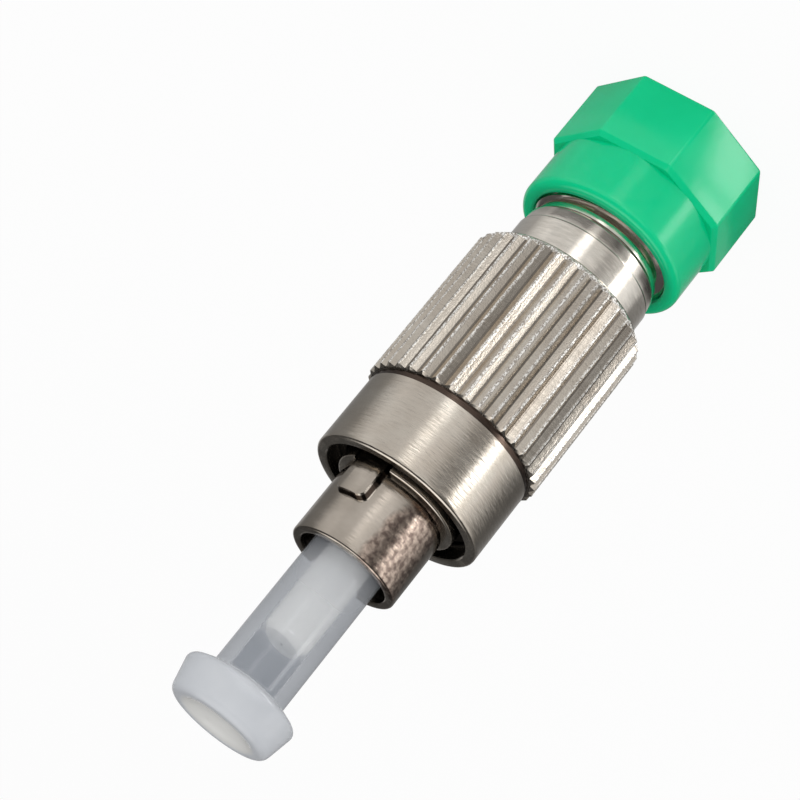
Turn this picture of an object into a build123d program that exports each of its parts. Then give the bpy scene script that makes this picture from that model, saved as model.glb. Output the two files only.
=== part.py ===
from build123d import *
from math import atan2, degrees, pi, radians, sin, sqrt, tan
import os

# A threaded, keyed fibre adapter for 2.5 mm ferrules: plug and knurled nut on top, capped receptacle below.
# Millimetres. It stands on the cap's flat end at z = 0, its optical axis is Z, and its key points to -Y.

# Green dust cap on the receptacle
cap_corners = 8  # of the octagonal grip
grip_step = 0.2  # from the skirt out to the grip's flats
cap_corner_radius = 0.3
cap_end_bevel = 0.12
cap_grip_height = 4.1
cap_grip_slope = 0.25  # height of the sloped step from the grip in to the skirt
cap_floor = 1.4
cap_skirt_wall = 0.8
cap_height = 7.55
cap_lip_radius = 0.42
cap_mouth_bevel = 0.15
cap_clearance = 0.07  # radial, on the thread
cap_end_gap = 0.2  # above the cap's floor
cap_turn = 3.4  # degrees between a corner of the grip and the X axis

# Receptacle: threaded barrel, relief groove, shoulder and plain band
thread_diameter = 7.86  # M8 x 0.75, over the crests
thread_length = 6.0
thread_bevel = 0.35
relief_rise = 0.2
relief_width = 0.3
relief_depth = 0.2  # radial, below the shoulder
shoulder_bevel = 0.25
shoulder_step = 0.1  # radial, from the band in to the shoulder
shoulder_length = 0.7
band_diameter = 8.0
band_length = 1.9
receptacle_clearance = 0.05  # radial, on the other plug's sleeve
receptacle_depth = 4.5
receptacle_bevel = 0.2
keyway_clearance = 0.075  # at each side of the other plug's key
keyway_depth = 2.4
core_seat_depth = 2.45  # counterbore that takes the body core's tail
press_gap = 0.01  # radial, between pieces pressed or bonded together

# Ferrule, alignment sleeve and holder
ferrule_diameter = 2.5
ferrule_reach = 4.75  # ahead of the plug sleeve
ferrule_tip_bevel = 0.3
ferrule_tip_length = 0.45
polish_angle = 8.0
fibre_diameter = 0.125
fibre_gap = 0.01
mate_depth = 8.5  # where two ferrules meet, inside the receptacle
split_gap = 0.02
split_wall = 0.33
split_length = 11.4
split_slot = 0.5
holder_gap = 0.05
holder_wall = 0.75
holder_recess = 0.8  # below the barrel's end
holder_lip = 0.8
holder_lip_diameter = 2.7
holder_lip_bevel = 0.35
holder_flange_height = 0.6
holder_clearance = 0.05

# Body core that the nut runs on
flange_clearance = 0.1  # radial, inside the nut's thread
flange_step = 0.35  # from the neck out to the flange
flange_height = 1.2
rim_clearance = 0.2  # radial, inside the nut's thread
rim_proud = 0.05  # ahead of the nut when the nut is right back
rim_bevel = 0.12
web_height = 0.8
web_gap = 0.2  # radial, round the ferrule
notch_clearance = 0.12
notch_margin = 0.3

# Plug sleeve and key
plug_diameter = 6.0
plug_wall = 0.5
plug_reach = 4.2  # ahead of the rim
plug_bevel = 0.12
spigot_wall = 0.3
spigot_length = 4.15
stop_depth = 1.35  # back face of the collar's stop, below the rim
stop_height = 0.8
stop_hole_gap = 0.4
rib_width = 0.7
rib_height = 0.35
rib_setback = 0.12  # above the collar's back face
key_width = 2.05
key_draft = 14.0
key_reach = 2.0  # ahead of the rim
key_tail = 0.9  # behind the rim, in its notch
key_clearance = 0.18  # radial, inside the nut's thread
key_corner = 0.4
key_trim = 0.42  # cut off the key's block by its round top

# Ferrule collar and spring
collar_clearance = 0.06
collar_engagement = 0.7  # of the ribs in the collar's slots, with the ferrule pushed right back
collar_nose = 0.4
hub_wall = 0.45
hub_height = 1.2
slot_clearance = 0.08
ferrule_travel = 1.3
stop_gap = 0.02
spring_clearance = 0.17  # radial, on the hub and in the chamber
spring_turns = 5
spring_runs = 10  # straight runs that stand for one turn
wire_sides = 6

# Coupling nut and its snap ring
nut_length = 14.05
nut_diameter = 9.5
nut_front_bevel = 0.14
nut_seam = 0.1
nut_travel = 3.5
nut_clearance = 0.05
nut_bore_length = 8.45
nut_thread_diameter = 7.2  # M8 x 0.75, over the crests of the inner thread
mouth_wall = 0.6
mouth_depth = 0.9
knurl_height = 0.325  # from the plain nose out to the crests
knurl_length = 9.85
knurl_teeth = 38
knurl_crest = 0.08
knurl_valley = 0.16
knurl_valley_rise = 0.02
knurl_front_bevel = 0.15
knurl_rear_bevel = 0.38
knurl_turn = 5.1  # degrees between the X axis and the first groove
ring_setback = 0.95
ring_height = 0.6
ring_width = 0.65
ring_gap_angle = 34.0
groove_gap = 0.1
groove_play = 0.06

# Clear dust cover on the ferrule
cover_clearance = 0.02
cover_wall = 0.73
cover_overlap = 7.6  # length of ferrule inside the cover
cover_air = 2.6  # past the ferrule's tip
cover_neck = 2.55  # from the ferrule's tip to the head
head_diameter = 6.3
head_front_diameter = 5.5
head_shoulder = 0.5
head_height = 2.35
head_edge_radius = 0.45
head_shoulder_radius = 0.3
dish_depth = 0.45
dish_rim = 0.75
dish_steps = 3

# Heights, built up from the cap's floor
barrel_end = cap_floor + cap_end_gap
thread_top = barrel_end + thread_length
relief_low = thread_top + relief_rise
relief_high = relief_low + relief_width
shoulder_low = relief_high + shoulder_bevel
band_low = shoulder_low + shoulder_length
band_top = band_low + band_length
mate_z = barrel_end + mate_depth
split_low = mate_z - split_length / 2
split_top = mate_z + split_length / 2
holder_low = barrel_end + holder_recess
holder_top = split_top + groove_gap
flange_seat = band_top - core_seat_depth
core_low = flange_seat + holder_flange_height
web_top = holder_top + web_height
nut_low = band_top + nut_seam
nut_top = nut_low + nut_length
knurl_top = nut_low + knurl_length
ring_low = nut_low + ring_setback + groove_play
ring_top = ring_low + ring_height
flange_low = ring_top + nut_travel + stop_gap
flange_top = flange_low + flange_height
rim_top = nut_top + rim_proud
spigot_low = rim_top - spigot_length
stop_low = rim_top - stop_depth
plug_top = rim_top + plug_reach
key_low = rim_top - key_tail
key_top = rim_top + key_reach
collar_height = ferrule_travel + collar_engagement
collar_top = stop_low - stop_gap
collar_low = collar_top - collar_height
tip_z = plug_top + ferrule_reach
cover_low = tip_z - cover_overlap
cover_bore_top = tip_z + cover_air
head_low = tip_z + cover_neck
head_top = head_low + head_height

# Radii that several pieces share
thread_radius = thread_diameter / 2
skirt_radius = thread_radius + cap_clearance + cap_skirt_wall
band_radius = band_diameter / 2
shoulder_radius = band_radius - shoulder_step
relief_radius = shoulder_radius - relief_depth
plug_radius = plug_diameter / 2
plug_bore = plug_radius - plug_wall
spigot_radius = plug_bore + spigot_wall
nut_radius = nut_diameter / 2
nut_thread_radius = nut_thread_diameter / 2
knurl_radius = nut_radius + knurl_height
flange_radius = nut_thread_radius - flange_clearance
neck_radius = flange_radius - flange_step
rim_radius = nut_thread_radius - rim_clearance
key_radius = nut_thread_radius - key_clearance
ferrule_radius = ferrule_diameter / 2
split_inner = ferrule_radius + split_gap
split_outer = split_inner + split_wall
holder_inner = split_outer + holder_gap
holder_outer = holder_inner + holder_wall
core_socket = spigot_radius + press_gap
collar_radius = plug_bore - collar_clearance
hub_radius = ferrule_radius + press_gap + hub_wall
ring_inner = neck_radius + nut_clearance
ring_outer = ring_inner + ring_width
wire_diameter = plug_bore - hub_radius - 2 * spring_clearance
cover_radius = ferrule_radius + cover_clearance + cover_wall
overcut = 1.0


def turned(*outline, mode=Mode.ADD, arc=360):
    """A solid of revolution about Z from a closed outline of (radius, height) corners."""
    with BuildSketch(Plane.XZ) as half:
        with BuildLine():
            Polyline(*outline, close=True)
        make_face()
    revolve(half.sketch, axis=Axis.Z, revolution_arc=arc, mode=mode)


def bored(radius, low, high):
    """A round hole along Z between two heights."""
    turned((0, low), (radius, low), (radius, high), (0, high), mode=Mode.SUBTRACT)


def rounded(before, corner, after, radius, steps=2):
    """Points of an outline that round off one corner, between its neighbours, with an arc in a few steps."""
    corner = Vector(*corner)
    inward = (Vector(*before) - corner).normalized()
    onward = (Vector(*after) - corner).normalized()
    half_angle = radians(inward.get_angle(onward) / 2)
    centre = corner + (inward + onward).normalized() * (radius / sin(half_angle))
    first_spoke = corner + inward * (radius / tan(half_angle)) - centre
    last_spoke = corner + onward * (radius / tan(half_angle)) - centre
    sweep_angle = first_spoke.get_signed_angle(last_spoke, Vector(0, 0, 1))
    points = [centre + first_spoke.rotate(Axis.Z, sweep_angle * step / steps) for step in range(steps + 1)]
    return [(point.X, point.Y) for point in points]


def polish_plane(height):
    """The plane of an angled polish at a height on the axis."""
    return Plane(origin=(0, 0, height), z_dir=Vector(0, 0, 1).rotate(Axis.X, polish_angle))


os.makedirs("parts", exist_ok=True)

# Green dust cap: octagonal grip below, round skirt above, a plain blind bore that slips over the thread
with BuildPart() as barrel_cap:
    with BuildSketch():
        RegularPolygon(skirt_radius + grip_step, cap_corners, major_radius=False, rotation=cap_turn)
    extrude(amount=cap_grip_height)
    fillet(barrel_cap.edges().filter_by(Axis.Z), radius=cap_corner_radius)
    chamfer(barrel_cap.faces().sort_by(Axis.Z)[0].edges(), length=cap_end_bevel)
    slope_angle = degrees(atan2(grip_step, cap_grip_slope))
    extrude(barrel_cap.faces().sort_by(Axis.Z)[-1], amount=cap_grip_slope, taper=slope_angle)
    lip = (skirt_radius, cap_height)
    turned(
        (0, cap_grip_height),
        (skirt_radius, cap_grip_height),
        *rounded((skirt_radius, cap_grip_height), lip, (0, cap_height), cap_lip_radius),
        (0, cap_height),
    )
    bored(thread_radius + cap_clearance, cap_floor, cap_height + overcut)
    chamfer(barrel_cap.faces().sort_by(Axis.Z)[-1].edges().sort_by(SortBy.LENGTH)[0], length=cap_mouth_bevel)
barrel_cap.part.label = "barrel_cap"
export_step(barrel_cap.part, "parts/barrel_cap.step")

# Receptacle: one turned piece with the barrel for the M8 thread, the relief, the shoulder and the plain band
with BuildPart() as rear_barrel:
    turned(
        (0, barrel_end),
        (thread_radius - thread_bevel, barrel_end),
        (thread_radius, barrel_end + thread_bevel),
        (thread_radius, thread_top),
        (relief_radius, relief_low),
        (relief_radius, relief_high),
        (shoulder_radius, shoulder_low),
        (shoulder_radius, band_low),
        (band_radius, band_low),
        (band_radius, band_top),
        (0, band_top),
    )
    bored(plug_radius + receptacle_clearance, barrel_end - overcut, barrel_end + receptacle_depth)
    bored(holder_outer + press_gap, barrel_end, band_top)
    bored(neck_radius + press_gap, flange_seat, band_top + overcut)
    mouth_edges = rear_barrel.faces().sort_by(Axis.Z)[0].edges().sort_by(SortBy.LENGTH)
    chamfer(mouth_edges[0], length=receptacle_bevel)
    with BuildSketch(Plane.XZ):
        with Locations((0, barrel_end + keyway_depth / 2)):
            Rectangle(key_width + 2 * keyway_clearance, keyway_depth)
    extrude(amount=thread_diameter, mode=Mode.SUBTRACT)
rear_barrel.part.label = "rear_barrel"
export_step(rear_barrel.part, "parts/rear_barrel.step")

# Holder tube for the alignment sleeve: a lip at the receptacle end, a flange clamped under the core's tail
with BuildPart() as sleeve_holder:
    turned(
        (0, holder_low),
        (holder_outer, holder_low),
        (holder_outer, flange_seat),
        (neck_radius, flange_seat),
        (neck_radius, core_low),
        (holder_outer, core_low),
        (holder_outer, holder_top),
        (0, holder_top),
    )
    bored(holder_lip_diameter / 2, holder_low - overcut, holder_top)
    bored(holder_inner, holder_low + holder_lip, holder_top + overcut)
    entry_edge = sleeve_holder.faces().sort_by(Axis.Z)[0].edges().sort_by(SortBy.LENGTH)[0]
    chamfer(entry_edge, length=holder_lip_bevel)
sleeve_holder.part.label = "sleeve_holder"
export_step(sleeve_holder.part, "parts/sleeve_holder.step")

# Zirconia alignment sleeve, slotted along its whole length
with BuildPart() as split_sleeve:
    turned(
        (split_inner, split_low),
        (split_outer, split_low),
        (split_outer, split_top),
        (split_inner, split_top),
    )
    with BuildSketch(Plane.XY.offset(split_low)):
        with Locations((0, split_outer)):
            Rectangle(split_slot, split_outer)
    extrude(amount=split_length, mode=Mode.SUBTRACT)
split_sleeve.part.label = "split_sleeve"
export_step(split_sleeve.part, "parts/split_sleeve.step")

# Body core: a long neck, the flange that stops the nut, the spring chamber and the notched rim
with BuildPart() as body_core:
    turned(
        (0, core_low),
        (neck_radius, core_low),
        (neck_radius, flange_low),
        (flange_radius, flange_low),
        (flange_radius, flange_top),
        (rim_radius, flange_top),
        (rim_radius, rim_top - rim_bevel),
        (rim_radius - rim_bevel, rim_top),
        (0, rim_top),
    )
    bored(holder_outer + holder_clearance, core_low - overcut, holder_top)
    bored(ferrule_radius + web_gap, core_low, rim_top)
    bored(plug_bore, web_top, rim_top)
    bored(core_socket, spigot_low, rim_top + overcut)
    with BuildSketch(Plane.XZ):
        with Locations((0, rim_top)):
            Rectangle(key_width + 2 * notch_clearance, 2 * (key_tail + notch_margin))
    extrude(amount=2 * rim_radius, mode=Mode.SUBTRACT)
body_core.part.label = "body_core"
export_step(body_core.part, "parts/body_core.step")

# Plug sleeve with its key, its spigot in the core's rim and two ribs that keep the ferrule from turning
with BuildPart() as key_sleeve:
    turned(
        (0, spigot_low),
        (spigot_radius, spigot_low),
        (spigot_radius, rim_top),
        (plug_radius, rim_top),
        (plug_radius, plug_top - plug_bevel),
        (plug_radius - plug_bevel, plug_top),
        (0, plug_top),
    )
    with BuildSketch(Plane.XZ.offset(plug_bore)) as key_outline:
        with Locations((0, (key_low + key_top) / 2)):
            Rectangle(key_width, key_top - key_low)
        fillet(key_outline.vertices().group_by(Axis.Y)[-1], radius=key_corner)
    extrude(amount=key_radius + key_trim - plug_bore, taper=key_draft)
    turned(
        (key_radius, key_low - overcut),
        (2 * key_radius, key_low - overcut),
        (2 * key_radius, key_top + overcut),
        (key_radius, key_top + overcut),
        mode=Mode.SUBTRACT,
    )
    bored(plug_bore, spigot_low - overcut, stop_low)
    bored(ferrule_radius + stop_hole_gap, stop_low, plug_top)
    bored(plug_bore, stop_low + stop_height, plug_top + overcut)
    with BuildSketch(Plane.XY.offset(collar_low + rib_setback)):
        with PolarLocations(plug_bore, 2):
            Rectangle(2 * rib_height, rib_width)
        Circle(plug_bore + spigot_wall / 2, mode=Mode.INTERSECT)
    extrude(amount=stop_low - collar_low - rib_setback)
key_sleeve.part.label = "key_sleeve"
export_step(key_sleeve.part, "parts/key_sleeve.step")

# Zirconia ferrule, with an angled polish at both ends
with BuildPart() as ferrule:
    turned(
        (0, mate_z - overcut),
        (ferrule_radius, mate_z - overcut),
        (ferrule_radius, tip_z - ferrule_tip_length),
        (ferrule_radius - ferrule_tip_bevel, tip_z),
        (ferrule_radius - ferrule_tip_bevel, tip_z + overcut),
        (0, tip_z + overcut),
    )
    bored(fibre_diameter / 2 + fibre_gap, mate_z - 2 * overcut, tip_z + 2 * overcut)
    split(bisect_by=polish_plane(tip_z), keep=Keep.BOTTOM)
    split(bisect_by=polish_plane(mate_z), keep=Keep.TOP)
ferrule.part.label = "ferrule"
export_step(ferrule.part, "parts/ferrule.step")

# Glass fibre bonded in the ferrule and polished with it
with BuildPart() as fibre_stub:
    turned(
        (0, mate_z - overcut),
        (fibre_diameter / 2, mate_z - overcut),
        (fibre_diameter / 2, tip_z + overcut),
        (0, tip_z + overcut),
    )
    split(bisect_by=polish_plane(tip_z), keep=Keep.BOTTOM)
    split(bisect_by=polish_plane(mate_z), keep=Keep.TOP)
fibre_stub.part.label = "fibre_stub"
export_step(fibre_stub.part, "parts/fibre_stub.step")

# Collar on the ferrule: a slotted flange with a conical nose, and a hub that centres the spring
with BuildPart() as ferrule_collar:
    turned(
        (ferrule_radius + press_gap, collar_low - hub_height),
        (hub_radius, collar_low - hub_height),
        (hub_radius, collar_low),
        (collar_radius, collar_low),
        (collar_radius, collar_top - collar_nose),
        (collar_radius - collar_nose, collar_top),
        (ferrule_radius + press_gap, collar_top),
    )
    with BuildSketch(Plane.XY.offset(collar_low)):
        with PolarLocations(plug_bore, 2):
            Rectangle(2 * (rib_height + slot_clearance), rib_width + 2 * slot_clearance)
    extrude(amount=collar_height, mode=Mode.SUBTRACT)
ferrule_collar.part.label = "ferrule_collar"
export_step(ferrule_collar.part, "parts/ferrule_collar.step")

# Compression spring between the core's web and the collar, its ends ground flat
spring_length = collar_low - web_top
spring_radius = plug_bore - spring_clearance - wire_diameter / 2
run_count = spring_turns * spring_runs
run_rise = spring_length / run_count
run_ends = [
    Vector(spring_radius, 0, web_top + run_rise * step).rotate(Axis.Z, 360 * step / spring_runs)
    for step in range(run_count + 1)
]
with BuildPart() as ferrule_spring:
    with BuildLine() as coil:
        Polyline(*run_ends)
    with BuildSketch(Plane(origin=coil.line @ 0, z_dir=coil.line % 0)):
        RegularPolygon(wire_diameter / 2, wire_sides)
    sweep(path=coil.line, transition=Transition.RIGHT)
    turned(
        (0, web_top),
        (plug_bore, web_top),
        (plug_bore, collar_low),
        (0, collar_low),
        mode=Mode.INTERSECT,
    )
ferrule_spring.part.label = "ferrule_spring"
export_step(ferrule_spring.part, "parts/ferrule_spring.step")

# Snap ring, open at the back, that rides in the nut's groove and catches the core's flange
with BuildPart() as nut_ring:
    turned(
        (ring_inner, ring_low),
        (ring_outer, ring_low),
        (ring_outer, ring_top),
        (ring_inner, ring_top),
        arc=360 - ring_gap_angle,
    )
nut_ring.part.label = "nut_ring"
export_step(nut_ring.part, "parts/nut_ring.step")

# Coupling nut: plain nose, straight knurl, threaded mouth and the groove for the snap ring
with BuildPart() as coupling_nut:
    turned(
        (0, nut_low),
        (knurl_radius - knurl_rear_bevel, nut_low),
        (knurl_radius, nut_low + knurl_rear_bevel),
        (knurl_radius, knurl_top - knurl_front_bevel),
        (knurl_radius - knurl_front_bevel, knurl_top),
        (nut_radius, knurl_top),
        (nut_radius, nut_top - nut_front_bevel),
        (nut_radius - nut_front_bevel, nut_top),
        (0, nut_top),
    )
    valley_radius = nut_radius + knurl_valley_rise
    groove_width = 2 * pi * knurl_radius / knurl_teeth - knurl_crest
    with BuildSketch(Plane.XY.offset(nut_low)) as knurl_grooves:
        with PolarLocations(0, knurl_teeth, start_angle=knurl_turn):
            Polygon(
                (valley_radius, -knurl_valley / 2),
                (knurl_radius, -groove_width / 2),
                (knurl_radius + overcut, -groove_width / 2),
                (knurl_radius + overcut, groove_width / 2),
                (knurl_radius, groove_width / 2),
                (valley_radius, knurl_valley / 2),
                align=None,
            )
    extrude(amount=knurl_length, mode=Mode.SUBTRACT)
    bored(flange_radius + nut_clearance, nut_low - overcut, nut_low + nut_bore_length)
    bored(nut_thread_radius, nut_low + nut_bore_length, nut_top)
    bored(nut_radius - mouth_wall, nut_top - mouth_depth, nut_top + overcut)
    bored(ring_outer + groove_gap, ring_low - groove_play, ring_top + groove_play)
coupling_nut.part.label = "coupling_nut"
export_step(coupling_nut.part, "parts/coupling_nut.step")

# Clear dust cover: a tube on the ferrule and a thick drafted head with a dished end
with BuildPart() as ferrule_cap:
    neck = (cover_radius, head_low)
    shoulder = (head_diameter / 2, head_low + head_shoulder)
    front_edge = (head_front_diameter / 2, head_top)
    turned(
        (0, cover_low),
        (cover_radius, cover_low),
        neck,
        *rounded(neck, shoulder, front_edge, head_shoulder_radius),
        *rounded(shoulder, front_edge, (0, head_top), head_edge_radius),
        (0, head_top),
    )
    dish_radius = head_front_diameter / 2 - dish_rim
    dish_sphere = (dish_radius**2 + dish_depth**2) / (2 * dish_depth)
    dish_centre = head_top - dish_depth + dish_sphere
    dish_rings = [dish_radius * (dish_steps - step) / dish_steps for step in range(dish_steps)]
    turned(
        (0, head_top + overcut),
        (dish_radius, head_top + overcut),
        *[(ring, dish_centre - sqrt(dish_sphere**2 - ring**2)) for ring in dish_rings],
        (0, head_top - dish_depth),
        mode=Mode.SUBTRACT,
    )
    bored(ferrule_radius + cover_clearance, cover_low - overcut, cover_bore_top)
ferrule_cap.part.label = "ferrule_cap"
export_step(ferrule_cap.part, "parts/ferrule_cap.step")
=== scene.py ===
# %% [markdown]
# # A fiber optic adapter, from frame to finish
#
# This is a small turned-metal part, 39 mm tall: a keyed plug with a knurled coupling nut at one end and a
# threaded receptacle at the other, with a green dust cap below and a clear dust cover above. The packed
# CAD model is loaded first as a fixed frame. Every piece made here takes the place of one solid of that
# frame and rides on its body, so that the joints of the model move the pieces too.

# %% Load the frame
from math import atan2, ceil, cos, degrees, hypot, pi, radians, sin, sqrt, tan

import bmesh
import bpy
from mathutils import Matrix, Vector


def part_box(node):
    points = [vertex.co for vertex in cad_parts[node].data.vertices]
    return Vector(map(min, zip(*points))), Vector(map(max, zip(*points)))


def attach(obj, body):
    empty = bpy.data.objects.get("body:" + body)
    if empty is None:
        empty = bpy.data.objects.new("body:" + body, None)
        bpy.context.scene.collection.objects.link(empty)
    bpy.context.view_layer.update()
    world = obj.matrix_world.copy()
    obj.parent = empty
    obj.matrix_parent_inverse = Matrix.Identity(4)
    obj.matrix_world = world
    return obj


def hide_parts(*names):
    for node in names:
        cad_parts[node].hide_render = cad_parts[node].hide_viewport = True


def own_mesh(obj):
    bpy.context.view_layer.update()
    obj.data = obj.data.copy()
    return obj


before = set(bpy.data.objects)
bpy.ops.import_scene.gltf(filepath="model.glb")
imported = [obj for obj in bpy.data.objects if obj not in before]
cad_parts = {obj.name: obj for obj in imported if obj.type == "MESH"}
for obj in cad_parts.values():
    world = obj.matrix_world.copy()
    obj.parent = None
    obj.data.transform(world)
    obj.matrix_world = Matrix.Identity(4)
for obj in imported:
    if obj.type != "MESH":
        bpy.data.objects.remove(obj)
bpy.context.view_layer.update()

# %% [markdown]
# ## Working in millimetres
#
# The frame is in metres, but a maker thinks of this part in millimetres, and so do these cells. A piece
# is modelled with one unit to the millimetre and is brought down to metres as its last step. The drawing
# below repeats the heights that several pieces share. A round piece has 160 sides, which look round at
# this size.

# %% The drawing, in millimetres
BARREL_END = 1.6
BAND_TOP = 10.95
NUT_LOW = 11.05
KNURL_TOP = 20.9
NUT_TOP = 25.1
RIM_TOP = 25.15
PLUG_TOP = 29.35
MATE_HEIGHT = 10.1
TIP_HEIGHT = 34.1
WEB_TOP = 16.7
COLLAR_LOW = 21.78
PITCH = 0.75
POLISH = radians(8)
ROUND = 160
print("plug reaches", round(PLUG_TOP - NUT_TOP, 2), "mm ahead of the nut")

# %% [markdown]
# ## Selecting by place
#
# In the viewport a modeller clicks on what the next operator should work on. A script has no mouse, so a
# small helper picks vertices, edges or faces by a test on their centre, as "all edges at the top rim".

# %% Helpers for selection
def to_mode(mode):
    bpy.ops.object.mode_set(mode=mode)


def deselect():
    if bpy.context.mode != "OBJECT":
        to_mode("OBJECT")
    bpy.ops.object.select_all(action="DESELECT")


def pick(kind, test):
    """Selects only the vertices, edges or faces whose centre passes the test, in edit mode."""
    bpy.ops.mesh.select_mode(type=kind)
    bpy.ops.mesh.select_all(action="DESELECT")
    shape = bmesh.from_edit_mesh(bpy.context.edit_object.data)
    items = {"VERT": shape.verts, "EDGE": shape.edges, "FACE": shape.faces}[kind]
    found = 0
    for item in items:
        if kind == "VERT":
            centre = item.co
        elif kind == "EDGE":
            centre = (item.verts[0].co + item.verts[1].co) / 2
        else:
            centre = item.calc_center_median()
        if test(centre, item):
            item.select_set(True)
            found += 1
    shape.select_flush_mode()
    bmesh.update_edit_mesh(bpy.context.edit_object.data)
    return found


# %% [markdown]
# ## Turning a shape
#
# Nearly everything here is made on a lathe, so it is drawn as half of its section. A ring of vertices is
# added at the first corner of the outline. Each next corner is one more extrusion of that ring, moved
# along the axis and resized to the new radius, as a hand would pull it. A bar with a bore ends where it
# began, and its doubles are merged. A shape that is closed on the axis gets its two open rings filled
# instead. Near the end of a long wall an outline has one extra point: it keeps the smooth shading of the
# wall from leaning into the rounding beside it, which would bend the reflections.

# %% Helpers for turning
MERGE = 0.0005


def rounded(before, corner, after, radius, steps=5):
    """Points that round off one corner of an outline with an arc."""
    corner = Vector(corner)
    inward = (Vector(before) - corner).normalized()
    onward = (Vector(after) - corner).normalized()
    half_angle = inward.angle(onward) / 2
    centre = corner + (inward + onward).normalized() * (radius / sin(half_angle))
    first = corner + inward * (radius / tan(half_angle)) - centre
    last = corner + onward * (radius / tan(half_angle)) - centre
    sweep = atan2(first.x * last.y - first.y * last.x, first.dot(last))
    spokes = [Matrix.Rotation(sweep * step / steps, 2) @ first for step in range(steps + 1)]
    return [tuple(centre + spoke) for spoke in spokes]


def start_ring(radius, height, sides, turn=0.0):
    """A ring of vertices round the axis, left selected in edit mode."""
    deselect()
    bpy.ops.mesh.primitive_circle_add(
        vertices=sides, radius=radius, fill_type="NOTHING", location=(0, 0, height), rotation=(0, 0, turn)
    )
    bpy.ops.object.transform_apply(location=True, rotation=True, scale=True)
    to_mode("EDIT")
    bpy.ops.mesh.select_mode(type="VERT")
    bpy.ops.mesh.select_all(action="SELECT")


def pull_ring(before, after):
    """Extrudes the selected ring from one corner of an outline to the next."""
    bpy.ops.mesh.extrude_region_move(TRANSFORM_OT_translate={"value": (0, 0, after[1] - before[1])})
    scale = after[0] / before[0]
    bpy.ops.transform.resize(value=(scale, scale, 1), center_override=(0, 0, 0))


def turned(outline, sides=ROUND, turn=0.0, closed=True):
    """A turned shape from (radius, height) corners, left in edit mode."""
    start_ring(outline[0][0], outline[0][1], sides, turn)
    corners = list(outline) + ([outline[0]] if closed else [])
    for before, after in zip(corners, corners[1:]):
        pull_ring(before, after)
    bpy.ops.mesh.select_all(action="SELECT")
    if closed:
        bpy.ops.mesh.remove_doubles(threshold=MERGE)
    else:
        bpy.ops.mesh.fill_holes(sides=0)
    return bpy.context.edit_object


print("an arc that rounds a square corner by 0.2 mm:", rounded((0, 1), (1, 1), (1, 0), 0.2, 2))

# %% [markdown]
# ## Operators on a whole piece
#
# An operator acts on all that is selected, so a piece is first made the only one. Real edges are never
# perfectly sharp, so a Bevel modifier breaks them by a few hundredths of a millimetre, and that thin line
# is what catches the light.

# %% Helpers for whole pieces
def active(piece):
    deselect()
    piece.select_set(True)
    bpy.context.view_layer.objects.active = piece


def face_out():
    """Merges doubles and turns all faces outwards, in edit mode."""
    bpy.ops.mesh.select_mode(type="VERT")
    bpy.ops.mesh.select_all(action="SELECT")
    bpy.ops.mesh.remove_doubles(threshold=MERGE)
    bpy.ops.mesh.normals_make_consistent(inside=False)


def apply_modifier(piece, kind, **settings):
    active(piece)
    modifier = piece.modifiers.new(kind.lower(), kind)
    for key, value in settings.items():
        setattr(modifier, key, value)
    bpy.ops.object.modifier_apply(modifier=modifier.name)


def break_edges(piece, width, segments=2, angle=35):
    apply_modifier(
        piece, "BEVEL", width=width, segments=segments, limit_method="ANGLE", angle_limit=radians(angle),
        use_clamp_overlap=True, miter_outer="MITER_ARC",
    )


# %% [markdown]
# ## Cutting and joining
#
# Slots, notches and threads are cut or joined with the Boolean modifier, applied at once. The tool never
# shares a face with the piece, which keeps the exact solver reliable. On a thread it can still lose most
# of the piece once in a while. A result with less than a third of the faces is such a miss, so the mesh
# from before goes back for another try.

# %% Helpers for cutting and joining
LEAST_SHARE = 1 / 3
TRIES = 4


def combine(piece, tool, operation, crossing=False):
    """UNION, DIFFERENCE or INTERSECT with a tool that is then thrown away."""
    for item in (piece, tool):
        active(item)
        to_mode("EDIT")
        face_out()
        to_mode("OBJECT")
    kept = piece.data.copy()
    for attempt in range(TRIES):
        apply_modifier(piece, "BOOLEAN", object=tool, operation=operation, solver="EXACT", use_self=crossing)
        print(operation.lower(), "on", len(kept.polygons), "faces gives", len(piece.data.polygons))
        if len(piece.data.polygons) > LEAST_SHARE * len(kept.polygons):
            break
        piece.data = kept.copy()
    active(tool)
    bpy.ops.object.delete()


def block(low, high):
    """A rectangular tool between two corners."""
    deselect()
    centre = [(a + b) / 2 for a, b in zip(low, high)]
    size = [b - a for a, b in zip(low, high)]
    bpy.ops.mesh.primitive_cube_add(size=1, location=centre, scale=size)
    bpy.ops.object.transform_apply(location=True, rotation=True, scale=True)
    return bpy.context.object


# %% [markdown]
# ## Handing a piece to the frame
#
# Every piece ends the same way: it is brought to metres, its faces are turned outwards and shaded smooth
# up to an angle, and it is told which body it rides on and which solid it stands for. The reach less the
# solid's own shows that it stays inside the real size.

# %% Helper for finishing a piece
def finish_piece(piece, name, body, smooth=30):
    """Metres, outward faces, smooth shading, a name, a body to ride on and the solid it stands for."""
    active(piece)
    to_mode("EDIT")
    face_out()
    bpy.ops.transform.resize(value=(0.001, 0.001, 0.001), center_override=(0, 0, 0))
    to_mode("OBJECT")
    bpy.ops.object.shade_smooth_by_angle(angle=radians(smooth))
    piece.name = name + "_turned"
    piece.data.name = piece.name
    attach(piece, body)
    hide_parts(name)
    low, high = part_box(name)
    reach = [max((abs(v.co[axis]) for v in piece.data.vertices)) for axis in range(3)]
    room = [max(abs(low[axis]), abs(high[axis])) for axis in range(3)]
    over = [round(1000 * (a - b), 3) for a, b in zip(reach, room)]
    print(name, len(piece.data.polygons), "faces; reach less solid, mm:", over)


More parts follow.
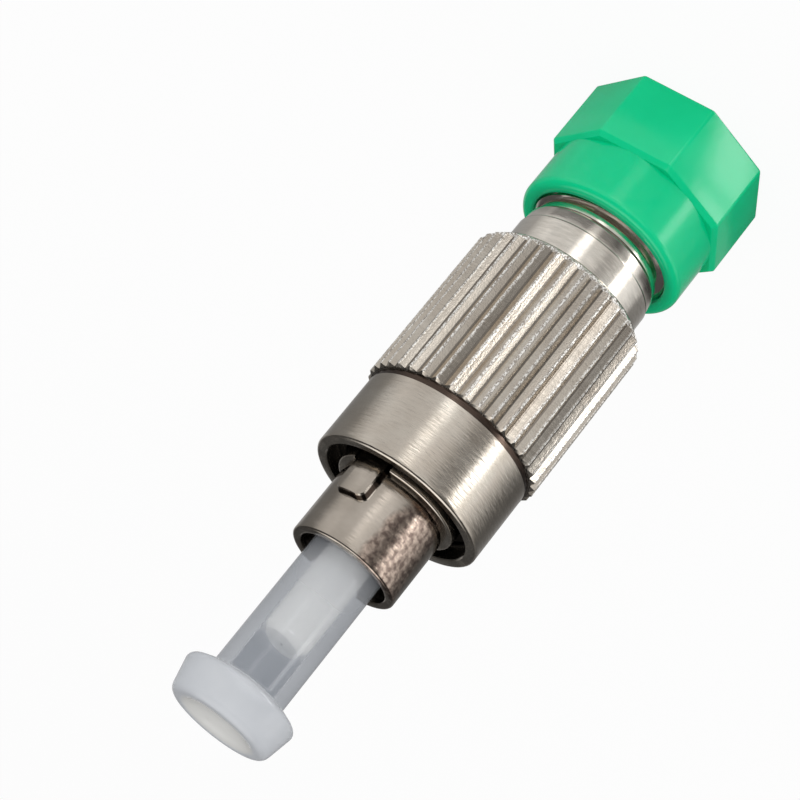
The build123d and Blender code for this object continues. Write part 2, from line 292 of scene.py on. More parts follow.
# %% [markdown]
# ## Threads
#
# A thread is one profile wound round the axis. The profile starts as a plane that is shaped to a
# trapezoid with 60 degree flanks, and the Screw modifier winds it with the real pitch of 0.75 mm. Its two
# open ends are filled, and what stands past the chamfer of the part is cut off, as the lathe would leave
# it.

# %% Winding a thread
SUNK = 0.07
CREST_HALF = 0.05
FLANK_ANGLE = radians(30)


def thread(root, crest, low, high, trim):
    """A helical ridge from a root radius to a crest radius, trimmed by a turned envelope."""
    deselect()
    base = root + (SUNK if crest < root else -SUNK)
    bpy.ops.mesh.primitive_plane_add(size=1, location=((base + crest) / 2, 0, low), rotation=(pi / 2, 0, 0))
    piece = bpy.context.object
    piece.scale = (abs(crest - base), 1, 1)
    bpy.ops.object.transform_apply(location=True, rotation=True, scale=True)
    to_mode("EDIT")
    base_half = CREST_HALF + abs(crest - root) * tan(FLANK_ANGLE)
    for radius, half in ((crest, CREST_HALF), (base, base_half)):
        pick("VERT", lambda centre, item: abs(centre.x - radius) < 0.001)
        bpy.ops.transform.resize(value=(1, 1, 2 * half), center_override=(radius, 0, low))
    to_mode("OBJECT")
    apply_modifier(
        piece, "SCREW", angle=2 * pi, screw_offset=PITCH, iterations=ceil((high - low) / PITCH), steps=72,
        render_steps=72, axis="Z", use_merge_vertices=False,
    )
    active(piece)
    to_mode("EDIT")
    bpy.ops.mesh.select_all(action="SELECT")
    bpy.ops.mesh.fill_holes(sides=4)
    to_mode("OBJECT")
    envelope = turned(trim, sides=ROUND)
    to_mode("OBJECT")
    combine(piece, envelope, "INTERSECT")
    return piece


# %% [markdown]
# ## The grip of the green dust cap
#
# The cap is moulded polyethylene in one shot: an octagonal grip, a round skirt with a soft lip, and a
# blind bore that slips over the thread. The grip is drawn as an eight-sided ring, filled and extruded,
# and its upright corners are bevelled to the 0.3 mm radius of the mould. A last short extrusion is drawn
# in, for the sloped step under the skirt.

# %% Model the grip
GRIP_FLAT = 5.0
GRIP_HEIGHT = 4.1
GRIP_STEP = 0.25
CAP_TURN = radians(3.4)
start_ring(GRIP_FLAT / cos(pi / 8), 0, 8, CAP_TURN)
bpy.ops.mesh.edge_face_add()
bpy.ops.mesh.extrude_region_move(TRANSFORM_OT_translate={"value": (0, 0, GRIP_HEIGHT)})
pick("EDGE", lambda centre, item: abs(item.verts[0].co.z - item.verts[1].co.z) > 1)
bpy.ops.mesh.bevel(offset=0.3 * tan(pi / 8), segments=4, offset_type="OFFSET")
pick("EDGE", lambda centre, item: centre.z < 0.01)
bpy.ops.mesh.bevel(offset=0.14, segments=4, offset_type="OFFSET")
pick("FACE", lambda centre, item: centre.z > GRIP_HEIGHT - 0.01)
bpy.ops.mesh.extrude_region_move(TRANSFORM_OT_translate={"value": (0, 0, GRIP_STEP)})
bpy.ops.transform.resize(value=(0.958, 0.958, 1), center_override=(0, 0, 0))
pick("EDGE", lambda centre, item: abs(centre.z - GRIP_HEIGHT) < 0.01)
bpy.ops.mesh.bevel(offset=0.04, segments=3, offset_type="OFFSET")
barrel_cap = bpy.context.edit_object
to_mode("OBJECT")
print("grip across its flats:", 2 * GRIP_FLAT, "mm")

# %% [markdown]
# ## The skirt and the bore of the green dust cap
#
# The skirt is turned as a solid plug that stands in the grip, and the two are joined. The bore and its
# rounded mouth are then cut out as one turned tool, which is how the core pin of the mould makes them.

# %% Model the skirt and the bore
SKIRT = 4.8
CAP_TOP = 7.55
CAP_BORE = 4.0
lip = rounded((SKIRT, GRIP_HEIGHT), (SKIRT, CAP_TOP), (CAP_BORE, CAP_TOP), 0.42, 7)
skirt = turned([(SKIRT, 3.0), (SKIRT, 7.05), *lip, (3.0, CAP_TOP)], closed=False)
to_mode("OBJECT")
combine(barrel_cap, skirt, "UNION")
mouth = [(CAP_BORE, 7.38), (4.03, 7.47), (4.11, 7.53), (4.35, 7.62)]
core_pin = turned([(CAP_BORE, 1.4), *mouth], closed=False)
to_mode("OBJECT")
combine(barrel_cap, core_pin, "DIFFERENCE")
finish_piece(barrel_cap, "barrel_cap", "cap")

# %% [markdown]
# ## The receptacle barrel
#
# This is turned brass, nickel plated: a threaded barrel with a chamfered start, a relief groove, a
# shoulder and the polished band that shows above the green cap. The barrel is turned at the thread's
# root, the thread is wound apart, the keyway for the other plug is cut through both, and only then are
# they joined, because the joined mesh is the hardest one to cut.

# %% Model the receptacle barrel
ROOT = 3.47
MALE_CREST = 3.93
barrel_outline = [
    (ROOT, BARREL_END + 0.04), (ROOT, 7.75), (3.7, 7.8), (3.7, 8.1),
    *rounded((3.7, 8.1), (3.9, 8.35), (3.9, 9), 0.05, 2), (3.9, 9.05),
    *rounded((3.9, 9.05), (4.0, 9.05), (4.0, 10), 0.03, 2),
    (4.0, 9.14), (4.0, 10.83), *rounded((4.0, 10), (4.0, BAND_TOP), (3.6, BAND_TOP), 0.06, 3),
    (3.16, BAND_TOP), (3.16, 8.5), (2.41, 8.5), (2.41, 6.1), (3.05, 6.1), (3.05, 1.8), (3.25, BARREL_END),
    (ROOT - 0.04, BARREL_END),
]
rear_barrel = turned(barrel_outline)
to_mode("OBJECT")
male_trim = [(3.3, 1.63), (3.6, 1.63), (3.99, 2.02), (3.99, 7.48), (3.75, 7.71), (3.3, 7.71)]
male_thread = thread(ROOT, MALE_CREST, 0.9, 8.2, male_trim)
combine(male_thread, block((-1.115, -5, 0.5), (1.115, 0, 4.02)), "DIFFERENCE")
combine(rear_barrel, block((-1.1, -5, 0.5), (1.1, 0, 4.0)), "DIFFERENCE")
combine(rear_barrel, male_thread, "UNION", crossing=True)
finish_piece(rear_barrel, "rear_barrel", "adapter")

# %% [markdown]
# ## The coupling nut
#
# The nut is turned, straight-knurled behind and plain in front, with a narrow relief between the two and
# an M8 x 0.75 thread inside. The ring that it is pulled from has four columns to a groove of the knurl:
# valley, flank, crest and flank.

# %% Turn the coupling nut
TEETH = 38
COLUMNS = 4 * TEETH
KNURL_TURN = radians(5.1)
CREST = 5.075
VALLEY = 4.77
FLANK = (CREST + VALLEY) / 2
NOSE = 4.75
nut_outline = [
    (3.55, NUT_LOW), (3.55, 12.0), (3.95, 12.0), (3.95, 12.72), (3.55, 12.72), (3.55, 19.5), (4.0, 19.5),
    (4.0, 24.2), (4.15, 24.2), (4.15, 25.02), (4.22, NUT_TOP),
    *rounded((4.22, NUT_TOP), (NOSE, NUT_TOP), (NOSE, 24), 0.16, 4),
    (NOSE, 24.85), (NOSE, 20.96), (NOSE, KNURL_TOP), (4.72, 20.88), (4.72, 20.6),
    (4.9, 20.56), (CREST, 20.4), (CREST, 11.43), (4.695, NUT_LOW),
]
coupling_nut = turned(nut_outline, sides=COLUMNS, turn=KNURL_TURN)
print("the knurl's pitch:", round(2 * pi * CREST / TEETH, 3), "mm")

# %% [markdown]
# ## The knurl
#
# A straight knurl is rolled: 38 grooves of about 90 degrees with thin crests between them. Where the
# knurl is, the valley columns are pushed in and the flanks halfway, at both chamfered ends too, and then
# crests and valleys are bevelled to their small flats.

# %% Roll the knurl
def column(centre):
    """0 in a valley, 2 on a crest, 1 and 3 on the flanks between them."""
    return round((atan2(centre.y, centre.x) - KNURL_TURN) * COLUMNS / (2 * pi)) % 4


def knurl_column(kinds, radius, height, new_radius, new_height):
    """Moves the chosen columns of one ring of the nut to a new radius and height."""
    pick(
        "VERT",
        lambda centre, item: column(centre) in kinds
        and abs(centre.z - height) < 0.001
        and abs(hypot(centre.x, centre.y) - radius) < 0.001,
    )
    scale = new_radius / radius
    bpy.ops.transform.resize(value=(scale, scale, 1), center_override=(0, 0, 0))
    bpy.ops.transform.translate(value=(0, 0, new_height - height))


def on_knurl(centre, item):
    return centre.length > 16 and centre.z < 17 and abs(item.verts[0].co.z - item.verts[1].co.z) > 8.5


knurl_column((0,), 4.9, 20.56, 4.745, 20.58)
knurl_column((1, 3), 4.9, 20.56, 4.84, 20.57)
knurl_column((0,), CREST, 20.4, VALLEY, 20.5)
knurl_column((1, 3), CREST, 20.4, FLANK, 20.47)
knurl_column((0,), CREST, 11.43, VALLEY, NUT_LOW + VALLEY - 4.695)
knurl_column((1, 3), CREST, 11.43, FLANK, NUT_LOW + FLANK - 4.695)
to_mode("OBJECT")
active(coupling_nut)
to_mode("EDIT")
crests = pick("EDGE", lambda centre, item: on_knurl(centre, item) and column(centre) == 2)
bpy.ops.mesh.bevel(offset=0.05, segments=1, offset_type="OFFSET", clamp_overlap=True)
valleys = pick("EDGE", lambda centre, item: on_knurl(centre, item) and column(centre) == 0)
bpy.ops.mesh.bevel(offset=0.05, segments=1, offset_type="OFFSET", clamp_overlap=True)
to_mode("OBJECT")
print("knurl crests and valleys bevelled:", crests, valleys)

# %% [markdown]
# ## The thread in the nut
#
# The same winding makes an inside thread: its root is the wider radius, and its crest points to the axis.

# %% Cut the thread in the nut
female_trim = [(3.5, 19.53), (4.15, 19.53), (4.15, 24.17), (3.5, 24.17)]
female_thread = thread(4.0, 3.6, 19.0, 24.6, female_trim)
combine(coupling_nut, female_thread, "UNION", crossing=True)
finish_piece(coupling_nut, "coupling_nut", "nut", smooth=25)

# %% [markdown]
# ## The snap ring
#
# A flat ring of spring steel, open by 34 degrees, sits in the groove of the nut and catches the flange of
# the core. Its rectangular section is a plane at its place, spun round the axis.

# %% Model the snap ring
deselect()
bpy.ops.mesh.primitive_plane_add(size=1, location=(3.525, 0, 12.36), rotation=(pi / 2, 0, 0))
nut_ring = bpy.context.object
nut_ring.scale = (0.65, 0.6, 1)
bpy.ops.object.transform_apply(location=True, rotation=True, scale=True)
to_mode("EDIT")
bpy.ops.mesh.select_all(action="SELECT")
bpy.ops.mesh.spin(steps=120, angle=radians(360 - 34), center=(0, 0, 0), axis=(0, 0, 1))
bpy.ops.mesh.select_all(action="SELECT")
bpy.ops.mesh.fill_holes(sides=4)
to_mode("OBJECT")
print("ring ends at", sorted({round(degrees(atan2(v.co.y, v.co.x))) for v in nut_ring.data.vertices})[:3])
break_edges(nut_ring, 0.05)
finish_piece(nut_ring, "nut_ring", "nut_carrier")

# %% [markdown]
# ## The body core
#
# The nut runs on this turned body. Its long neck is pressed into the barrel, its flange stops the nut,
# and its front rim shows inside the mouth of the nut, with the notch that the key stands in.

# %% Model the body core
core_outline = [
    (2.45, 9.1), (3.15, 9.1), (3.15, 16.18), (3.5, 16.18), (3.5, 17.38), (3.4, 17.38),
    *rounded((3.4, 17.38), (3.4, RIM_TOP), (2.81, RIM_TOP), 0.12, 3),
    (2.83, RIM_TOP), (2.81, 25.13), (2.81, 21.0), (2.5, 21.0), (2.5, WEB_TOP), (1.45, WEB_TOP), (1.45, 15.9),
    (2.45, 15.9),
]
body_core = turned(core_outline)
to_mode("OBJECT")
combine(body_core, block((-1.145, -7, 23.95), (1.145, 0, 26.4)), "DIFFERENCE")
break_edges(body_core, 0.04)
finish_piece(body_core, "body_core", "adapter")

# %% [markdown]
# ## The plug sleeve
#
# The 6 mm sleeve slides into the other receptacle. It is turned with the inner flange that stops the
# ferrule's collar.

# %% Turn the plug sleeve
sleeve_outline = [
    (2.5, 21.0), (2.8, 21.0), (2.8, RIM_TOP), (3.0, RIM_TOP),
    (3.0, 29.1), *rounded((3.0, RIM_TOP), (3.0, PLUG_TOP), (2.5, PLUG_TOP), 0.14, 4),
    *rounded((3.0, PLUG_TOP), (2.5, PLUG_TOP), (2.5, 25), 0.1, 3),
    (2.5, 24.6), (1.65, 24.6), (1.65, 23.8), (2.5, 23.8),
]
key_sleeve = turned(sleeve_outline)
to_mode("OBJECT")
print("sleeve of", len(key_sleeve.data.polygons), "faces")

# %% [markdown]
# ## The key and the ribs
#
# The key is a raised tab with a round top and rounded front corners, and it keeps the angled ferrule from
# turning. It is a block at its place, its outer face drawn in for the draft. It is trimmed by a cylinder
# to get its round top, then joined to the sleeve. Two small ribs inside hold the slots of the collar.

# %% Model the key and the ribs
KEY_TOP = 3.42
KEY_HALF = 1.025
KEY_OUTER = 3.84
KEY_INNER = 2.6
key = block((-KEY_HALF, -KEY_OUTER, 24.25), (KEY_HALF, -KEY_INNER, 27.15))
active(key)
to_mode("EDIT")
pick("EDGE", lambda centre, item: centre.z > 27.1 and abs(item.verts[0].co.y - item.verts[1].co.y) > 1)
bpy.ops.mesh.bevel(offset=0.46, segments=8, offset_type="OFFSET")
pick("FACE", lambda centre, item: centre.y < -3.8)
draft = 2 * (KEY_OUTER - KEY_INNER) * tan(radians(14))
drawn_in = (1 - draft / (2 * KEY_HALF), 1, 1 - draft / 2.9)
bpy.ops.transform.resize(value=drawn_in, center_override=(0, -KEY_OUTER, 25.7))
to_mode("OBJECT")
round_top = turned([(KEY_TOP, 23.0), (KEY_TOP, 28.5)], sides=ROUND, closed=False)
to_mode("OBJECT")
combine(key, round_top, "INTERSECT")
break_edges(key, 0.13, segments=4, angle=30)
combine(key_sleeve, key, "UNION")
for low_x, high_x in ((-2.65, -2.15), (2.15, 2.65)):
    combine(key_sleeve, block((low_x, -0.35, 21.9), (high_x, 0.35, 23.9)), "UNION")
finish_piece(key_sleeve, "key_sleeve", "adapter")

# %% [markdown]
# ## The ferrule
#
# A 2.5 mm zirconia rod with a hole of 0.145 mm for the glass fibre. It is turned too long and then
# bisected at both ends with the 8 degree plane of an angled polish, and the two cut rings at each end are
# bridged.

# %% Model the ferrule
ROD_ENDS = (9.0, 35.1)
ends = ((TIP_HEIGHT, False), (MATE_HEIGHT, True))
ferrule = turned([
    (0.0725, ROD_ENDS[0]), (1.25, ROD_ENDS[0]),
    *rounded((1.25, ROD_ENDS[0]), (1.25, 33.65), (0.95, TIP_HEIGHT), 0.4, 4),
    (0.95, TIP_HEIGHT), (0.95, ROD_ENDS[1]), (0.0725, ROD_ENDS[1]),
], sides=96)


def polish(height, keep_above, fill):
    """Cuts an angled end; the loops that the cut opens stay selected."""
    bpy.ops.mesh.select_all(action="SELECT")
    bpy.ops.mesh.bisect(
        plane_co=(0, 0, height), plane_no=(0, -sin(POLISH), cos(POLISH)), use_fill=fill,
        clear_inner=keep_above, clear_outer=not keep_above,
    )


for height, keep_above in ends:
    polish(height, keep_above, False)
    pick("EDGE", lambda centre, item: item.is_boundary)
    bpy.ops.mesh.bridge_edge_loops()
to_mode("OBJECT")
finish_piece(ferrule, "ferrule", "ferrule")

# %% [markdown]
# ## The fibre
#
# The glass fibre is bonded in the ferrule and polished with it, so it gets the same cuts, filled flat.

# %% Model the fibre
fibre_stub = turned([(0.0625, ROD_ENDS[0]), (0.0625, ROD_ENDS[1])], sides=24, closed=False)
for height, keep_above in ends:
    polish(height, keep_above, True)
to_mode("OBJECT")
finish_piece(fibre_stub, "fibre_stub", "ferrule")

# %% [markdown]
# ## The ferrule's collar
#
# The collar is pressed on the ferrule. Its flange has two slots for the ribs of the sleeve, so that the
# angled face can't turn.

# %% Model the collar
collar_outline = [
    (1.265, 20.58), (1.71, 20.58), (1.71, COLLAR_LOW), (2.44, COLLAR_LOW), (2.44, 23.38), (2.04, 23.78),
    (1.265, 23.78),
]
ferrule_collar = turned(collar_outline, sides=128)
to_mode("OBJECT")
for low_x, high_x in ((-3, -2.07), (2.07, 3)):
    combine(ferrule_collar, block((low_x, -0.43, 21.0), (high_x, 0.43, 24.5)), "DIFFERENCE")
break_edges(ferrule_collar, 0.04)
finish_piece(ferrule_collar, "ferrule_collar", "ferrule")

# %% [markdown]
# ## The spring
#
# One round wire is wound five times and ground flat at both ends: a circle wound by the Screw modifier,
# cut by two level planes and filled. It is the one piece that changes its length as the ferrule is pushed
# back by 1.3 mm, and it gets a mesh of its own.

# %% Model the spring
COIL = 2.105
WIRE = 0.225
TURNS = 5
LENGTH = COLLAR_LOW - WEB_TOP
deselect()
bpy.ops.mesh.primitive_circle_add(
    vertices=16, radius=WIRE, fill_type="NOTHING", location=(COIL, 0, WEB_TOP), rotation=(pi / 2, 0, 0)
)
ferrule_spring = bpy.context.object
bpy.ops.object.transform_apply(location=True, rotation=True, scale=True)
apply_modifier(
    ferrule_spring, "SCREW", angle=2 * pi, screw_offset=LENGTH / TURNS, iterations=TURNS, steps=56,
    render_steps=56, axis="Z", use_merge_vertices=False,
)
active(ferrule_spring)
to_mode("EDIT")
bpy.ops.mesh.select_all(action="SELECT")
bpy.ops.mesh.fill_holes(sides=0)
for height, above in ((WEB_TOP + 0.005, True), (COLLAR_LOW - 0.005, False)):
    bpy.ops.mesh.select_all(action="SELECT")
    bpy.ops.mesh.bisect(
        plane_co=(0, 0, height), plane_no=(0, 0, 1), use_fill=True, clear_inner=above, clear_outer=not above
    )
to_mode("OBJECT")
finish_piece(ferrule_spring, "ferrule_spring", "adapter", smooth=50)
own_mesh(ferrule_spring)

# %% [markdown]
# ## The holder and the alignment sleeve
#
# Inside the receptacle a flanged metal tube holds a slotted zirconia sleeve. Both ferrules meet in it,
# and it springs open a little to grip them. Both are turned, and the sleeve is slit from end to end.

# %% Model the holder and the alignment sleeve
holder_outline = [
    (1.7, 2.4), (2.4, 2.4), (2.4, 8.5), (3.15, 8.5), (3.15, 9.1), (2.4, 9.1), (2.4, 15.9), (1.65, 15.9),
    (1.65, 3.2), (1.35, 3.2), (1.35, 2.75),
]
sleeve_holder = turned(holder_outline, sides=128)
to_mode("OBJECT")
break_edges(sleeve_holder, 0.04)
finish_piece(sleeve_holder, "sleeve_holder", "adapter")
split_sleeve = turned([(1.27, 4.4), (1.6, 4.4), (1.6, 15.8), (1.27, 15.8)], sides=96)
to_mode("OBJECT")
combine(split_sleeve, block((-0.25, 0.8, 4.0), (0.25, 2.5, 16.2)), "DIFFERENCE")
break_edges(split_sleeve, 0.03)
finish_piece(split_sleeve, "split_sleeve", "adapter")

# %% [markdown]
# ## The clear dust cover
#
# A soft clear tube slips over the ferrule. Its thick head has a rounded shoulder, tapers to the front and
# ends in a shallow dish, which is a cap of a large sphere. The bore is blind, so the outline starts on
# the bore's end, runs down and out, up the outside, and over the edge into the dish. The two rings that
# are left on the axis are filled.

# %% Model the clear dust cover
COVER_BORE_TOP = 36.7
HEAD_LOW = 36.65
HEAD_TOP = 39.0
DISH_RADIUS = 2.0
DISH_DEPTH = 0.45
shoulder = (3.15, 37.15)
front_edge = (2.75, HEAD_TOP)
dish_sphere = (DISH_RADIUS**2 + DISH_DEPTH**2) / (2 * DISH_DEPTH)
dish = []
for step in range(7):
    across = DISH_RADIUS * (1 - step / 6.3)
    dish.append((across, HEAD_TOP - DISH_DEPTH + dish_sphere - sqrt(dish_sphere**2 - across**2)))
cover_outline = [
    (1.27, COVER_BORE_TOP), (1.27, 26.55), (1.32, 26.5),
    *rounded((1.32, 26.5), (2.0, 26.5), (2.0, 30), 0.1, 3),
    *rounded((2.0, 30), (2.0, HEAD_LOW), shoulder, 0.12, 3),
    *rounded((2.0, HEAD_LOW), shoulder, front_edge, 0.3, 5),
    *rounded(shoulder, front_edge, (0, HEAD_TOP), 0.45, 7),
    *dish,
]
ferrule_cap = turned(cover_outline, sides=ROUND, closed=False)
to_mode("OBJECT")
finish_piece(ferrule_cap, "ferrule_cap", "cover", smooth=40)

# %% [markdown]
# ## Building a material
#
# Colours are written as the usual hex values of a screen and turned to linear light by one function. One
# small helper adds a node, sets it up, links it and gives back one of its outputs. The noise textures
# work in metres, so a scale of 8 * PER_MM draws about eight marks to the millimetre. A relief of 0.01 mm
# is as deep as the marks of a fine tool.

# %% Helpers for materials
PER_MM = 1000
RELIEF = 0.01 / PER_MM


def linear(code):
    channels = [int(code[start:start + 2], 16) / 255 for start in (1, 3, 5)]
    return [c / 12.92 if c <= 0.04045 else ((c + 0.055) / 1.055) ** 2.4 for c in channels] + [1.0]


def node(tree, kind, inputs=(), out=0, **settings):
    """Adds a shader node, fills or links its inputs by order or name, and returns one output."""
    made = tree.nodes.new("ShaderNode" + kind)
    for key, value in settings.items():
        setattr(made, key, value)
    for key, value in inputs.items() if isinstance(inputs, dict) else enumerate(inputs):
        if isinstance(value, bpy.types.NodeSocket):
            tree.links.new(value, made.inputs[key])
        else:
            made.inputs[key].default_value = value
    return made.outputs[out] if made.outputs else None


def new_material(name):
    made = bpy.data.materials.new(name)
    made.use_nodes = True
    made.node_tree.nodes.clear()
    return made, made.node_tree


def dress(finish, *pieces):
    for piece in pieces:
        piece.data.materials.clear()
        piece.data.materials.append(finish)
        print(piece.name, "is dressed in", finish.name)


print("a screen's middle grey is", round(linear("#808080")[0], 3), "in linear light")

# %% [markdown]
# ## A look that follows the shape
#
# On a turned part, dirt, wear and shadow follow the distance from the axis and the height. A look is a
# small set of values that a finish is built up in: those two measures, the colour so far, how metallic it
# is, and its relief. A colour is laid over it where some limits hold, such as a radius between two
# values.

# %% Helpers for a look
def measure(tree):
    """Where a point lies: its place in metres, its distance from the axis and its height."""
    place = node(tree, "TexCoord", out="Object")
    flat = node(tree, "VectorMath", [place, (1, 1, 0)], operation="MULTIPLY")
    radius = node(tree, "VectorMath", [flat], "Value", operation="LENGTH")
    height = node(tree, "SeparateXYZ", [place], "Z")
    return {"tree": tree, "place": place, "radius": radius, "height": height, "metal": 1.0}


def within(look, *limits):
    """1 where all limits hold. Each names a measure, where it starts and where it is full, in mm."""
    share = 1.0
    for name, start, full in limits:
        rise = node(look["tree"], "MapRange", [look[name], start / PER_MM, full / PER_MM])
        share = node(look["tree"], "Math", [share, rise], operation="MULTIPLY")
    return share


def shaded(code, *limits):
    """A layer that lays one colour over a look where all limits hold."""
    def layer(look):
        share = within(look, *limits)
        colours = {0: share, 6: look["colour"], 7: linear(code)}
        look["colour"] = node(look["tree"], "Mix", colours, 2, data_type="RGBA")
    return layer


# %% [markdown]
# ## Nickel-plated brass
#
# Bright nickel over turned brass is a warm, slightly yellow grey metal. The tool leaves fine rings round
# the axis, a few hundredths of a millimetre apart, and they are drawn about 0.12 mm apart so that they
# show: a noise that is stretched round the part. They change the gloss and the relief, and a slow cloud,
# 2 mm across, changes the tint. What only one piece has, such as a stain, is a layer of its own.

# %% Nickel-plated brass
def nickel(name, roughness, marks, tint, *layers):
    """Turned and plated brass, with layers that are put on the look in order."""
    finish, tree = new_material(name)
    look = measure(tree)
    stretched = node(tree, "VectorMath", [look["place"], (0.15, 0.15, 1.0)], operation="MULTIPLY")
    rings = node(tree, "TexNoise", {
        "Vector": stretched, "Scale": 8 * PER_MM, "Detail": 2.0, "Roughness": 0.6
    }, "Fac")
    cloud = node(tree, "TexNoise", {"Vector": look["place"], "Scale": 0.5 * PER_MM, "Detail": 3.0}, "Fac")
    tarnish = node(tree, "MapRange", [cloud, 0.3, 0.7])
    colour = node(tree, "Mix", {0: tarnish, 6: linear(tint[0]), 7: linear(tint[1])}, 2, data_type="RGBA")
    look.update(cloud=cloud, relief=rings, colour=colour)
    for layer in layers:
        layer(look)
    gloss = node(tree, "MapRange", [rings, 0.3, 0.7, roughness - 0.04, roughness + 0.08])
    bump = node(tree, "Bump", {"Height": look["relief"], "Strength": marks, "Distance": RELIEF})
    shader = node(tree, "BsdfPrincipled", {
        "Base Color": look["colour"], "Metallic": look["metal"], "Roughness": gloss, "Normal": bump
    })
    node(tree, "OutputMaterial", {"Surface": shader})
    return finish


PLATE = ("#CBC0B2", "#DAD2C6")
POLISHED_PLATE = ("#EFE7DB", "#F9F3E9")
dress(nickel("polished_nickel_plate", 0.13, 0.08, POLISHED_PLATE), rear_barrel)
dress(nickel("turned_nickel_plate", 0.2, 0.2, PLATE), sleeve_holder, ferrule_collar)

# %% [markdown]
# ## Nickel deep in the part
#
# Little light comes out of a narrow gap, so the core is painted dark as shade where the nut covers it, and
# bright again on the neck that the nut can bare.

# %% Nickel on the body core
DEEP_SHADE = "#403C37"
# Painted shade: the core is dark between these heights, where the nut covers it.
shade_under_the_nut = shaded(DEEP_SHADE, ("height", 25.0, 24.7), ("height", 17.2, 17.4))
dress(nickel("core_nickel_plate", 0.2, 0.2, PLATE, shade_under_the_nut), body_core)

# %% [markdown]
# ## Nickel on the rolled knurl
#
# Rolling tears the metal along the crests and at the rear edge, so a thin line there is grainy: bright and
# grey specks, only half metallic, about 0.09 mm across, whose white is a painted glint. The flanks are
# rolled smooth with a soft grain. The valleys, the relief in front of the knurl and the bore are painted
# dark as shade.

# %% Nickel on the coupling nut
def torn_crests_and_glints(look):
    tree = look["tree"]
    grit = node(tree, "TexNoise", {"Vector": look["place"], "Scale": 11 * PER_MM, "Detail": 1.5}, "Fac")
    rolled = within(look, ("radius", 4.765, 4.78))
    crest = within(look, ("radius", 4.99, 5.05))
    rear_edge = within(look, ("height", 11.43, 11.38))
    torn_and_glinting = node(tree, "Math", [crest, rear_edge], operation="MAXIMUM")
    torn_and_glinting = node(tree, "Math", [torn_and_glinting, rolled], operation="MULTIPLY")
    depth = node(tree, "MapRange", [torn_and_glinting, 0.0, 1.0, 1.2, 4.0])
    grain = node(tree, "Math", [grit, depth], operation="MULTIPLY")
    deep_rings = node(tree, "Math", [look["relief"], 2.0], operation="MULTIPLY")
    look["relief"] = node(tree, "Mix", {0: rolled, 2: deep_rings, 3: grain})
    # Painted glints: the grainy line gets white and grey specks, standing for light caught on it.
    sparkle = node(tree, "MapRange", [grit, 0.4, 0.58])
    specks = node(tree, "Mix", {0: sparkle, 6: linear("#958C83"), 7: linear("#FFFDF8")}, 2, data_type="RGBA")
    look["colour"] = node(tree, "Mix", {0: torn_and_glinting, 6: look["colour"], 7: specks}, 2, data_type="RGBA")
    look["metal"] = node(tree, "MapRange", [torn_and_glinting, 0.0, 1.0, 1.0, 0.5])


# Painted shade in the valleys, in the relief in front of the knurl and in the bore.
valley_shade = shaded("#4E463F", ("radius", 4.82, 4.79), ("radius", 4.765, 4.78))
relief_shade = shaded("#584B43", ("height", 20.56, 20.6), ("radius", 4.75, 4.73), ("height", 20.9, 20.88))
nut_bore_shade = shaded(DEEP_SHADE, ("radius", 4.2, 4.1))
nut_layers = (valley_shade, torn_crests_and_glints, relief_shade, nut_bore_shade)
dress(nickel("knurled_nickel_plate", 0.18, 0.45, PLATE, *nut_layers), coupling_nut)

# %% [markdown]
# ## Nickel on the plug sleeve
#
# The plug is handled most. On one side it has a brown, mottled stain, with blotches of about 0.3 mm that
# also roughen it. The sides of the key down to its foot, and the bore, are painted dark as shade.

# %% Nickel on the plug sleeve
STAIN_SIDE = (-0.966, -0.259, 0.082)


def brown_stain(look):
    tree = look["tree"]
    side = node(tree, "VectorMath", [look["place"], STAIN_SIDE], "Value", operation="DOT_PRODUCT")
    ragged = node(tree, "Math", [look["cloud"], 0.5 / PER_MM, side], operation="MULTIPLY_ADD")
    stain = node(tree, "MapRange", [ragged, 5.02 / PER_MM, 5.17 / PER_MM])
    mottle = node(tree, "TexNoise", {"Vector": look["place"], "Scale": 3.6 * PER_MM, "Detail": 3.0}, "Fac")
    blotch = node(tree, "MapRange", [mottle, 0.36, 0.64])
    brown = node(tree, "Mix", {0: blotch, 6: linear("#84736A"), 7: linear("#CDBAAB")}, 2, data_type="RGBA")
    look["colour"] = node(tree, "Mix", {0: stain, 6: look["colour"], 7: brown}, 2, data_type="RGBA")
    rough = node(tree, "Math", [mottle, stain], operation="MULTIPLY")
    look["relief"] = node(tree, "Math", [rough, 1.1, look["relief"]], operation="MULTIPLY_ADD")


# Painted shade on the sides of the key and in the bore of the plug.
key_foot_shade = shaded("#3F362F", ("radius", 3.03, 3.07), ("radius", 3.35, 3.29))
plug_bore_shade = shaded(DEEP_SHADE, ("radius", 2.56, 2.46))
plug_plate = ("#B3A99D", "#CBC1B5")
dress(nickel("plug_nickel_plate", 0.15, 0.3, plug_plate, key_foot_shade, brown_stain, plug_bore_shade), key_sleeve)

# %% [markdown]
# ## Green polyethylene
#
# The cap is moulded in a soft, slightly waxy green plastic. Light enters it a little before it comes
# back, so its shadows stay full of colour. It is glossy, with the slow waves of a surface that shrank as
# it cooled and a fine grain of the mould, drawn about 0.2 mm wide so that it shows.

